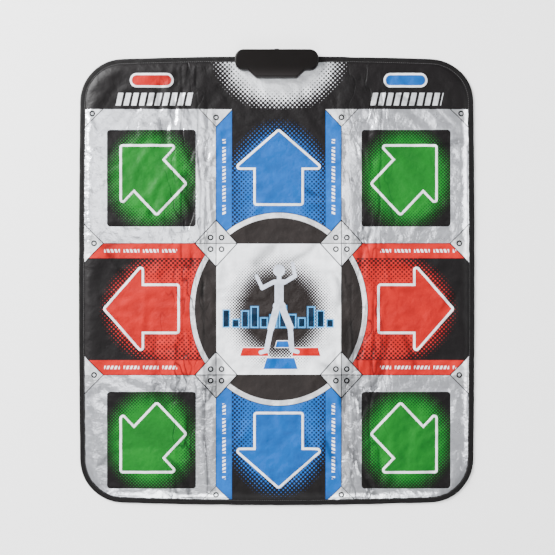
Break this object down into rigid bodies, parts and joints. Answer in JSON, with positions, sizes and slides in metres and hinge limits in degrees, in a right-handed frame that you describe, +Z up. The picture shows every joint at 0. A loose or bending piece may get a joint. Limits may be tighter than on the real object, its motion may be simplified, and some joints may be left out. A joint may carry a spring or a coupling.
{
  "type": "dance mat",
  "caption": "Foldable soft dance mat with arrow-shaped foot switches and a slim controller box at the far edge.",
  "frame": {"origin": "middle of the mat's underside, lying flat", "axes": "+Z up, +Y towards the controller box, +X to the player's right"},
  "size_m": [0.82, 0.9427, 0.02],
  "materials": {
    "printed_cover": "satin",
    "clear_film": "satin",
    "foam": "matte",
    "carbon_ink": "matte",
    "slip_base": "matte",
    "binding": "satin",
    "box_plastic": "satin",
    "board": "satin",
    "chip_resin": "gloss",
    "can": "satin",
    "rubber": "matte",
    "screw_steel": "satin"
  },
  "bodies": {
    "left_flap": {"top_cover_left": "printed_cover", "upper_film_left": "clear_film", "spacer_foam_left": "foam", "lower_film_left": "clear_film", "printed_contacts_left": "carbon_ink", "cushion_foam_left": "foam", "slip_base_left": "slip_base", "edge_binding_left": "binding"},
    "centre": {"top_cover_centre": "printed_cover", "upper_film_centre": "clear_film", "spacer_foam_centre": "foam", "lower_film_centre": "clear_film", "printed_contacts_centre": "carbon_ink", "cushion_foam_centre": "foam", "slip_base_centre": "slip_base", "edge_binding_centre": "binding", "box_top_shell": "box_plastic", "box_bottom_tray": "box_plastic", "circuit_board": "board", "controller_chip": "chip_resin", "crystal": "can", "capacitors": "can", "pressure_strip": "rubber", "board_screws": "screw_steel", "box_screws": "screw_steel", "cable_gland": "rubber"},
    "right_flap": {"top_cover_right": "printed_cover", "upper_film_right": "clear_film", "spacer_foam_right": "foam", "lower_film_right": "clear_film", "printed_contacts_right": "carbon_ink", "cushion_foam_right": "foam", "slip_base_right": "slip_base", "edge_binding_right": "binding"},
    "up_key": {"up_pad": "printed_cover", "up_contact": "clear_film"},
    "down_key": {"down_pad": "printed_cover", "down_contact": "clear_film"},
    "up_left_key": {"up_left_pad": "printed_cover", "up_left_contact": "clear_film"},
    "left_key": {"left_pad": "printed_cover", "left_contact": "clear_film"},
    "down_left_key": {"down_left_pad": "printed_cover", "down_left_contact": "clear_film"},
    "select_key": {"select_pad": "printed_cover", "select_contact": "clear_film"},
    "up_right_key": {"up_right_pad": "printed_cover", "up_right_contact": "clear_film"},
    "right_key": {"right_pad": "printed_cover", "right_contact": "clear_film"},
    "down_right_key": {"down_right_pad": "printed_cover", "down_right_contact": "clear_film"},
    "start_key": {"start_pad": "printed_cover", "start_contact": "clear_film"}
  },
  "joints": [
    {"name": "left_fold", "type": "hinge", "parent": "centre", "child": "left_flap", "pos_m": [-0.15, 0, 0.0151], "axis": [0, 1, 0], "range_deg": [0, 179.9]},
    {"name": "right_fold", "type": "hinge", "parent": "centre", "child": "right_flap", "pos_m": [0.15, 0, 0.0202], "axis": [0, -1, 0], "range_deg": [0, 179.9]},
    {"name": "up_press", "type": "slide", "parent": "centre", "child": "up_key", "axis": [0, 0, -1], "range_m": [0, 0.0015], "stiffness_N_per_m": 3000, "springref_m": -0.0003},
    {"name": "down_press", "type": "slide", "parent": "centre", "child": "down_key", "axis": [0, 0, -1], "range_m": [0, 0.0015], "stiffness_N_per_m": 3000, "springref_m": -0.0003},
    {"name": "up_left_press", "type": "slide", "parent": "left_flap", "child": "up_left_key", "axis": [0, 0, -1], "range_m": [0, 0.0015], "stiffness_N_per_m": 3000, "springref_m": -0.0003},
    {"name": "left_press", "type": "slide", "parent": "left_flap", "child": "left_key", "axis": [0, 0, -1], "range_m": [0, 0.0015], "stiffness_N_per_m": 3000, "springref_m": -0.0003},
    {"name": "down_left_press", "type": "slide", "parent": "left_flap", "child": "down_left_key", "axis": [0, 0, -1], "range_m": [0, 0.0015], "stiffness_N_per_m": 3000, "springref_m": -0.0003},
    {"name": "select_press", "type": "slide", "parent": "left_flap", "child": "select_key", "axis": [0, 0, -1], "range_m": [0, 0.0015], "stiffness_N_per_m": 3000, "springref_m": -0.0003},
    {"name": "up_right_press", "type": "slide", "parent": "right_flap", "child": "up_right_key", "axis": [0, 0, -1], "range_m": [0, 0.0015], "stiffness_N_per_m": 3000, "springref_m": -0.0003},
    {"name": "right_press", "type": "slide", "parent": "right_flap", "child": "right_key", "axis": [0, 0, -1], "range_m": [0, 0.0015], "stiffness_N_per_m": 3000, "springref_m": -0.0003},
    {"name": "down_right_press", "type": "slide", "parent": "right_flap", "child": "down_right_key", "axis": [0, 0, -1], "range_m": [0, 0.0015], "stiffness_N_per_m": 3000, "springref_m": -0.0003},
    {"name": "start_press", "type": "slide", "parent": "right_flap", "child": "start_key", "axis": [0, 0, -1], "range_m": [0, 0.0015], "stiffness_N_per_m": 3000, "springref_m": -0.0003}
  ]
}
